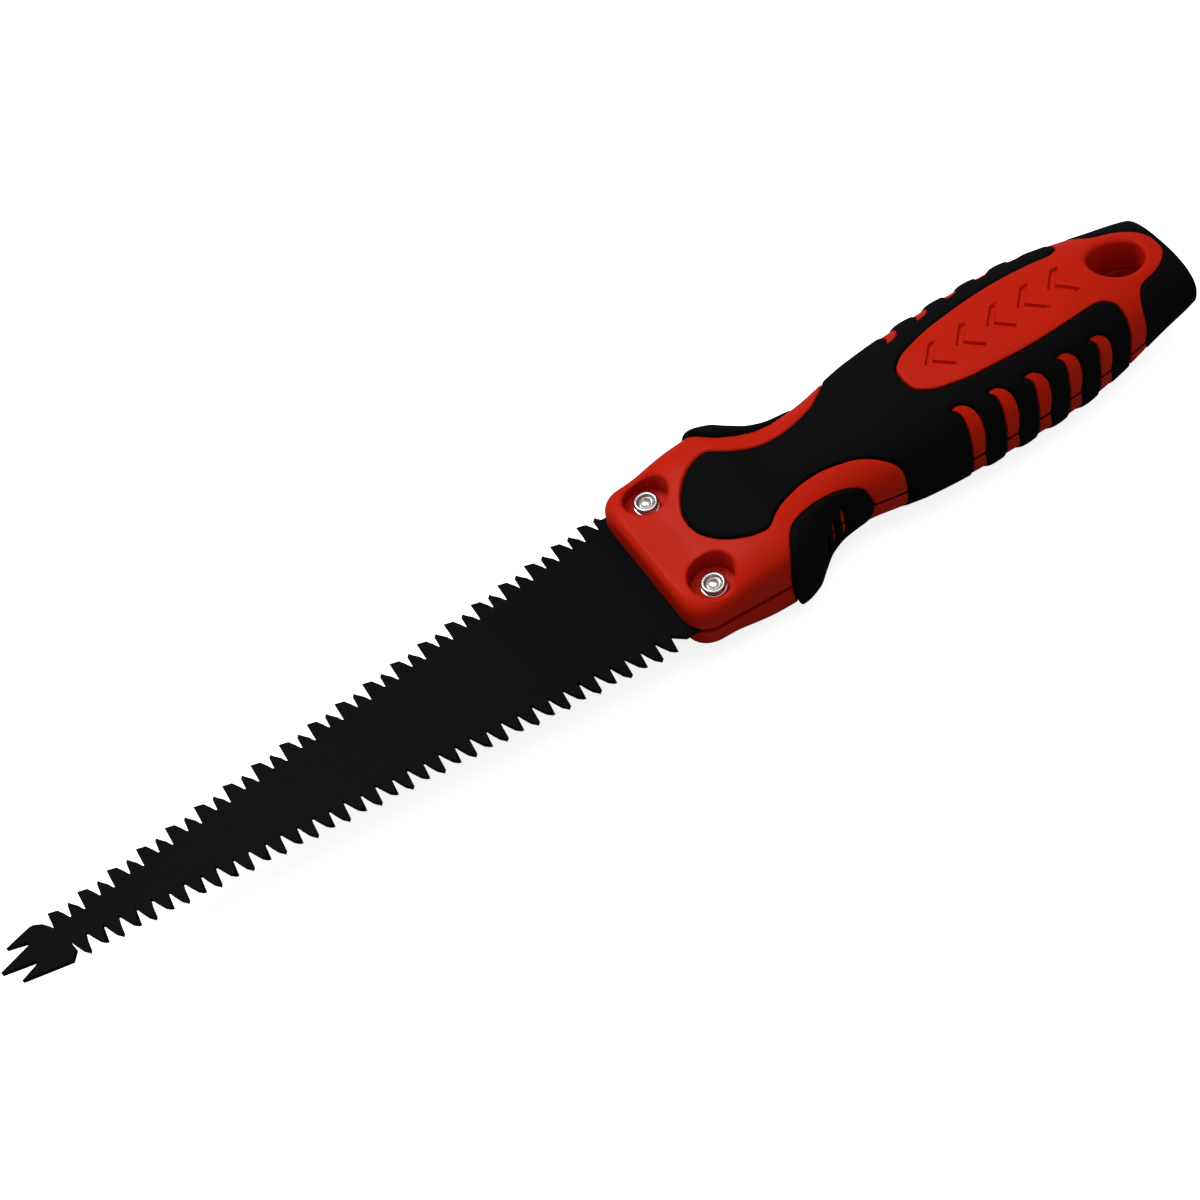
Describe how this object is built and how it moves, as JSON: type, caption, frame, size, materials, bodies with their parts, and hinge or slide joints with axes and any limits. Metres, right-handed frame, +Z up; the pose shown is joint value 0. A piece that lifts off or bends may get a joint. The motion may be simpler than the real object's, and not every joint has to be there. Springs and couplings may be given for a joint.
{
  "type": "drywall saw",
  "caption": "Double-edged drywall saw: forked, toothed blade riveted into a two-shell red handle with soft black grip, finger guards, tail cap and hang hole.",
  "frame": {"origin": "middle of the underside of the bounding box, the saw lying flat with its blade level", "axes": "+X from the blade's forked tip to the tail of the handle, +Y across the blade, +Z up through the flat of the blade"},
  "size_m": [0.2962, 0.045, 0.0278],
  "materials": {
    "blade_steel": "satin black coating",
    "core_red": "semi-gloss moulded polypropylene",
    "soft_black": "matt moulded elastomer",
    "rivet_steel": "bright plated steel"
  },
  "bodies": {
    "root": {"blade": "blade_steel", "core_upper_shell": "core_red", "core_lower_shell": "core_red", "soft_grip": "soft_black", "finger_guard_near": "soft_black", "finger_guard_far": "soft_black", "tail_cap": "soft_black", "rivet_near": "rivet_steel", "rivet_far": "rivet_steel", "washer_near": "rivet_steel", "washer_far": "rivet_steel"}
  },
  "joints": []
}
